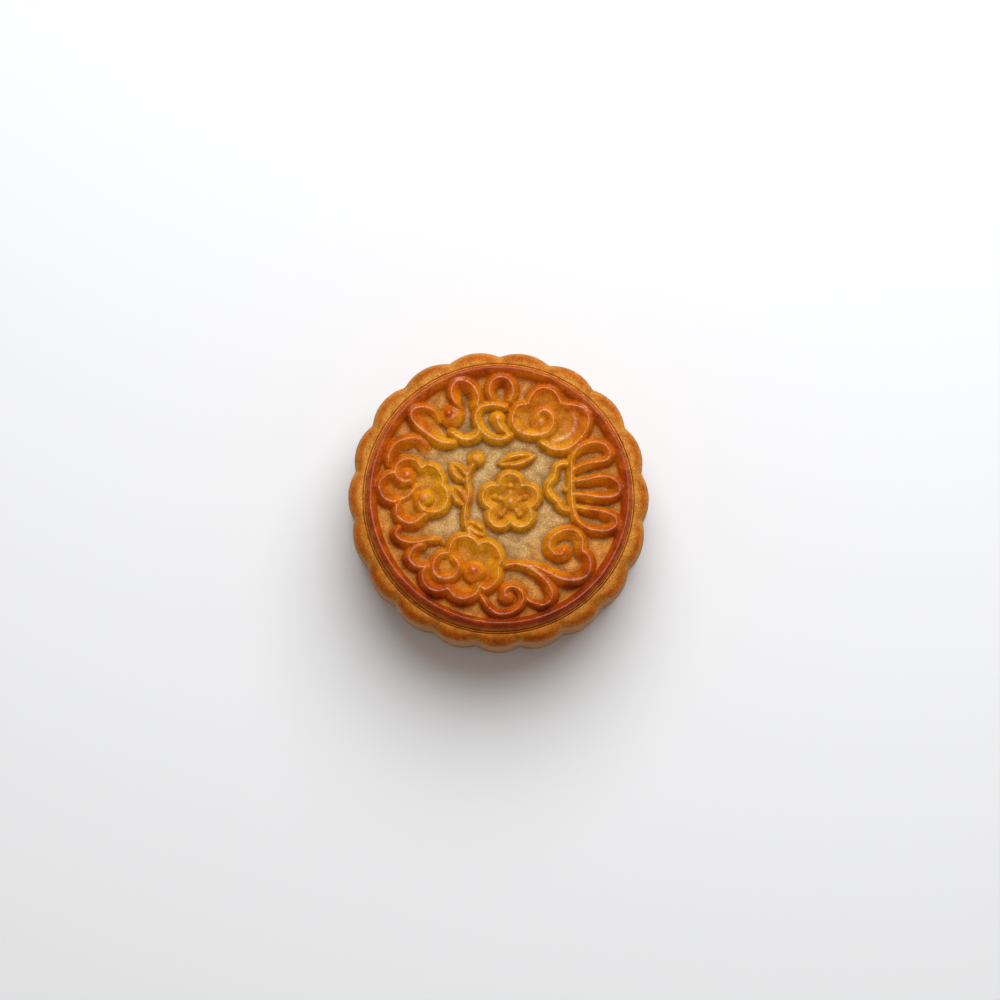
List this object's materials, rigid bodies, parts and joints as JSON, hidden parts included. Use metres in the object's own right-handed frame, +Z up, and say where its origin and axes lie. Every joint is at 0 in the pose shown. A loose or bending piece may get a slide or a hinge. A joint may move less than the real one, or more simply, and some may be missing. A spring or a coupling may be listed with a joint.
{
  "type": "mooncake",
  "caption": "Round baked mooncake with a scalloped side, a raised border ring and pressed flower and cloud scroll ornament on top.",
  "frame": {"origin": "centre of the flat base, on the surface the cake stands on", "axes": "+Z up out of the ornamented top; +Y points to the top edge of the ornament as it is read, +X to its right"},
  "size_m": [0.081, 0.0797, 0.0335],
  "materials": {
    "crust": "egg-washed baked dough: golden brown, browner and glossier on the raised ornament, matt and paler on the side and in the hollows"
  },
  "bodies": {
    "root": {"mooncake": "crust"}
  },
  "joints": []
}
